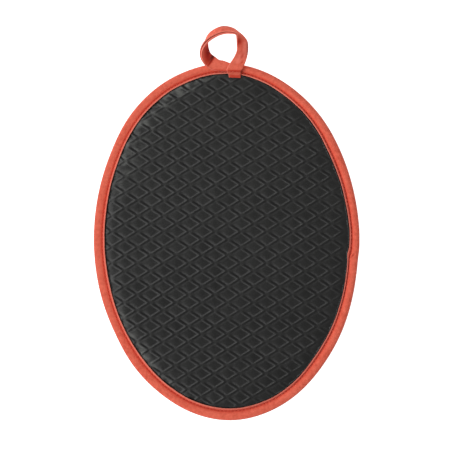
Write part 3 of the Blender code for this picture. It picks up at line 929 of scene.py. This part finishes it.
def add_wrinkles(points, share, height):
    """Raises the roll's wrinkles, and sinks the crease beside the joint."""
    along = along_edge[:-1]
    for k in np.nonzero((height > WRINKLED_FROM_MM[0]) & (share < LIP_SHARES[0]))[0]:
        across = share[k] * width
        slant = on_the_flat(along + across * WRINKLE_SLANT[0], across * WRINKLE_SLANT[1])
        wrinkle = uneven(slant, WRINKLE_LONG_MM, 3)
        wrinkle += WRINKLE_SHORT_SHARE * uneven(points[:, k], WRINKLE_SHORT_MM, 4)
        crease = soft_oval(CREASE, points[:, k, 0], points[:, k, 1])
        raised_mm = wrinkle * WRINKLE_MM - crease * CREASE_DEEP_MM
        points[:, k, 2] += raised_mm * MM * smooth_step(*WRINKLED_FROM_MM, height[k])


def binding_marks(section, points):
    """How strong each painted shade and painted highlight is at the binding's points, with the lip's wear.
    """
    share, height = section[:, 0], section[:, 1]
    on_top = height > COLORS_FROM_MM
    at_right = facing(section_turn, *RIGHT_FACING, RIGHT_TURN)[:, None]
    seam_at_right = bell(np.degrees(section_turn) / DARKER_SEAM_WITHIN_DEG)[:, None]

    def strong(pair, right=at_right):
        return pair[0] + pair[1] * right

    creased = soft_oval(CREASE, points[..., 0], points[..., 1])
    # Painted shade down the seam's valley, darker at the right, and in the crease.
    seam_line = bell((share - SEAM_SHARE) / strong(SEAM_LINE_HALF_WIDE)) * on_top
    # Reddened painted shade beside the seam.
    reddened_shade = bell((share - SEAM_SHARE) / REDDENED_SHADE_HALF_WIDE) * (share < SEAM_SHARE + REDDENED_SHADE_PAST_SEAM) * on_top
    # The lip: its wear with a painted highlight, and greyed painted shade at the right.
    on_lip = smooth_step(*LIP_COLOR_SHARES, share) * on_top
    # Greyed painted shade along the outermost edge.
    outer_edge = (share < OUTER_EDGE_SHARE) & (height > OUTER_EDGE_MM[0]) & (height < OUTER_EDGE_MM[1])
    return {
        "deep": np.maximum(seam_line * strong(SEAM_LINE_SHADE, seam_at_right), CREASE_SHADE * creased),
        "reddened_shade": reddened_shade * strong(REDDENED_SHADE),
        "wear_and_highlight": on_lip * strong(LIP_WEAR_AND_HIGHLIGHT),
        "grey_shade": np.maximum(on_lip * strong(LIP_GREY_SHADE), outer_edge * strong(OUTER_EDGE_GREY_SHADE)),
        "dark": CREASE_DARK_SHADE * creased,
    }


def make_binding(look):
    section = smooth_ring(BINDING_ROWS, SECTION_STEPS)
    points = binding_points(section)
    faces, corners = swept_faces(len(outermost), len(section), True)
    steps = np.diff(section[:, :2], axis=0) * (BINDING_WIDE_MM, 1.0)
    across = np.concatenate([[0.0], np.cumsum(np.hypot(*steps.T))])
    across = np.append(across, across[-1])
    uv = np.column_stack([along_edge[corners[:, 0]], across[corners[:, 1]] * MM])
    marks = binding_marks(section, points)
    return add_piece("edge_binding", points.reshape(-1, 3), faces, look, uv, marks)


# --- The loop --------------------------------------------------------------------------------------------


def loop_path():
    """Near edge, far edge and thickness along the loop's tape."""
    rows = [np.array(row[1:]) for row in LOOP]
    rows = [2 * rows[0] - rows[1]] + rows + [2 * rows[-1] - rows[-2]]
    path = []
    for k in range(1, len(rows) - 2):
        path += [smooth_between(*rows[k - 1:k + 3], step / LOOP_STEPS) for step in range(LOOP_STEPS)]
    path.append(rows[-2])
    return np.array(path) * MM


def fold_section():
    """The folded tape's section: from its open edge round its outside, then round the slit in it."""
    upper, upper_inside = ([(wide, SLIT + deep * (1 - 2 * SLIT)) for wide, deep in half]
                           for half in (FOLD_OUTSIDE, FOLD_INSIDE))
    lower, lower_inside = ([(wide, SLIT - deep * (1 + 2 * SLIT)) for wide, deep in reversed(half)]
                           for half in (FOLD_OUTSIDE, FOLD_INSIDE))
    return np.array(upper + [(-1.0, SLIT)] + lower + lower_inside + upper_inside)


def shaded(points, shades):
    """How strong a colour is at each of the loop's points, from 0 to 1."""
    places = [row.place for row in LOOP]
    strong = np.zeros(points.shape[:2])
    for shade in shades:
        sections = sorted(places.index(place) * LOOP_STEPS for place in (shade.first, shade.last))
        part = slice(sections[0], sections[1] + 1)
        oval = soft_oval(shade, points[part, :, 0], points[part, :, 1])
        strong[part] = np.maximum(strong[part], shade.strong * oval)
    return strong


def loop_marks(section, points):
    """How strong each painted shade and painted highlight is at the loop's points."""
    wide, deep = section.T
    from_slit = abs(deep - SLIT)
    # Painted highlight on the open edge, painted shade in the slit.
    open_edge = (wide > OPEN_EDGE_FROM) & (from_slit > SLIT_REACH)
    slit = (wide > FOLD_FROM) & (from_slit < SLIT_REACH)
    # Painted shade in the slit, and in the loop's creases and hollows.
    deep = np.maximum(SLIT_SHADE * slit, shaded(points, LOOP_CREASE_SHADE))
    return {
        "deep": deep,
        "reddened_shade": np.minimum(deep * REDDENED_FOR_SHADE, 1.0),
        "wear_and_highlight": np.maximum(OPEN_EDGE_HIGHLIGHT * open_edge, shaded(points, LOOP_PAINTED_LIGHT)),
        "grey_shade": shaded(points, LOOP_GREY_SHADE),
        "dark": shaded(points, LOOP_DARK),
    }


def make_loop(look):
    path = loop_path()
    near, far, thick = path[:, :3], path[:, 3:6], path[:, 6]
    middle = (near + far) / 2
    half_across = (near - far) / 2
    through = np.cross(np.gradient(middle, axis=0), half_across)
    through /= np.linalg.norm(through, axis=1)[:, None]
    section = fold_section()
    points = np.stack([
        middle + half_across * wide + through * (thick * deep)[:, None] for wide, deep in section
    ], axis=1)
    sections, around = points.shape[:2]
    faces, corners = swept_faces(sections, around, False)
    ends = [list(range(around))[::-1], [(sections - 1) * around + k for k in range(around)]]
    along = np.concatenate([[0.0], np.cumsum(np.linalg.norm(np.diff(middle, axis=0), axis=1))])
    steps = abs(np.diff(section[:, 0], append=section[0, 0]))
    across = np.concatenate([[0.0], np.cumsum(steps)]) * LOOP_HALF_WIDE_MM * MM
    uv = np.column_stack([along[corners[:, 0]], across[corners[:, 1]]])
    end_corners = [(end, place) for end in (along[0], along[-1]) for place in across[:-1]]
    uv = np.concatenate([uv, end_corners])
    marks = loop_marks(section, points)
    return add_piece("hanging_loop_tape", points.reshape(-1, 3), faces + ends, look, uv, marks)


# --- The stitches ----------------------------------------------------------------------------------------


def thread_ring(center, ahead, radius):
    """Points round a thread that runs ahead along the seam."""
    side = np.array([-ahead[1], ahead[0], 0.0]) / np.linalg.norm(ahead)
    ring = []
    for turn in range(THREAD_SIDES):
        angle = 2 * math.pi * turn / THREAD_SIDES
        up = np.array([0.0, 0.0, radius * math.sin(angle)])
        ring.append(center + side * radius * math.cos(angle) + up)
    return ring


def stitch_faces():
    """Faces of one stitch: its rings of points joined, and both its ends closed."""
    faces, _ = swept_faces(THREAD_RINGS, THREAD_SIDES, False)
    start = list(range(THREAD_SIDES))
    end = [THREAD_RINGS * THREAD_SIDES - 1 - turn for turn in start]
    return faces + [start, end]


def make_stitches(under):
    """One row of stitches along the seam, lying on whatever piece is on top there."""
    trees = [BVHTree.FromObject(piece, bpy.context.evaluated_depsgraph_get()) for piece in under]
    seam = edge_ring(SEAM_SHARE)
    seam = np.concatenate([seam, seam[:1]])

    def seam_at(along):
        return np.array([np.interp(along, along_edge, column) for column in seam.T])

    def top_at(x, y):
        above, down = Vector((x, y, LOOK_DOWN_FROM_MM * MM)), Vector((0, 0, -1))
        hits = [tree.ray_cast(above, down)[0] for tree in trees]
        return max(hit.z for hit in hits if hit is not None)

    one_stitch = stitch_faces()
    points, faces, twist = [], [], []
    for k in range(STITCH_COUNT):
        middle = (k + 0.5) / STITCH_COUNT * EDGE_LENGTH
        faces += [[len(points) + corner for corner in face] for face in one_stitch]
        for t in np.linspace(-1, 1, THREAD_RINGS):
            along = middle + t * STITCH_LENGTH_MM * MM / 2
            x, y = seam_at(along)
            ahead = seam_at(along + AHEAD_MM * MM) - (x, y)
            rise_mm = THREAD_RISE_MM - THREAD_SINK_MM * t ** 4
            center = np.array([x, y, top_at(x, y) + rise_mm * MM])
            radius = THREAD_MM * MM / 2 * math.sqrt(max(THREAD_END_SHARE, 1 - abs(t) ** 3))
            points += thread_ring(center, ahead, radius)
            twist += [t * THREAD_TWISTS + turn / THREAD_SIDES for turn in range(THREAD_SIDES)]
    return add_piece("seam_stitches", points, faces, thread_look(), marks={"twist": twist})


# --- Floor, light and camera -----------------------------------------------------------------------------


def make_floor():
    bpy.ops.mesh.primitive_plane_add(size=FLOOR_SIZE, location=FLOOR_PLACE)
    floor = bpy.context.object
    floor.name = "floor"
    floor.data.materials.append(floor_look())


def make_room():
    """A white room, lighter at the left."""
    world = bpy.data.worlds.new("studio")
    world.use_nodes = True
    tree = world.node_tree
    background = tree.nodes["Background"]
    background.inputs["Color"].default_value = WHITE
    parts = tree.nodes.new("ShaderNodeSeparateXYZ")
    tree.links.new(tree.nodes.new("ShaderNodeTexCoord").outputs["Generated"], parts.inputs["Vector"])
    ramp = tree.nodes.new("ShaderNodeMapRange")
    ramp.inputs["From Min"].default_value = WALL_TO_CEILING[0]
    ramp.inputs["From Max"].default_value = WALL_TO_CEILING[1]
    ramp.inputs["To Min"].default_value = WALL_LIGHT
    ramp.inputs["To Max"].default_value = CEILING_LIGHT
    tree.links.new(parts.outputs["X"], ramp.inputs["Value"])
    tree.links.new(ramp.outputs["Result"], background.inputs["Strength"])
    bpy.context.scene.world = world


def add_softbox():
    light = bpy.data.lights.new("key", "AREA")
    light.shape = "RECTANGLE"
    light.size, light.size_y = KEY_SIZE
    light.energy = KEY_POWER
    holder = bpy.data.objects.new("key", light)
    holder.location = KEY_PLACE
    holder.rotation_euler = (-Vector(KEY_PLACE)).to_track_quat("-Z", "Y").to_euler()
    bpy.context.scene.collection.objects.link(holder)


def add_camera():
    camera = bpy.data.cameras.new("camera")
    camera.lens = CAMERA_LENS_MM
    camera.sensor_width = CAMERA_SENSOR_MM
    holder = bpy.data.objects.new("camera", camera)
    holder.location = CAMERA_PLACE
    holder.rotation_euler = (0, 0, math.radians(CAMERA_TURN_DEG))
    bpy.context.scene.collection.objects.link(holder)
    bpy.context.scene.camera = holder


def main():
    tape = tape_look()
    pad = make_pad()
    binding = make_binding(tape)
    loop = make_loop(tape)
    stitches = make_stitches([binding, loop])
    for piece, node, slot in (
        (pad, "panel", "black_rubber"),
        (binding, "binding", "coral_tape"),
        (loop, "hanging_loop", "coral_tape"),
    ):
        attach(piece, "root")
        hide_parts(node)
    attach(stitches, "root")
    make_floor()
    make_room()
    add_softbox()
    add_camera()
    bpy.context.scene.view_settings.view_transform = "Standard"


main()
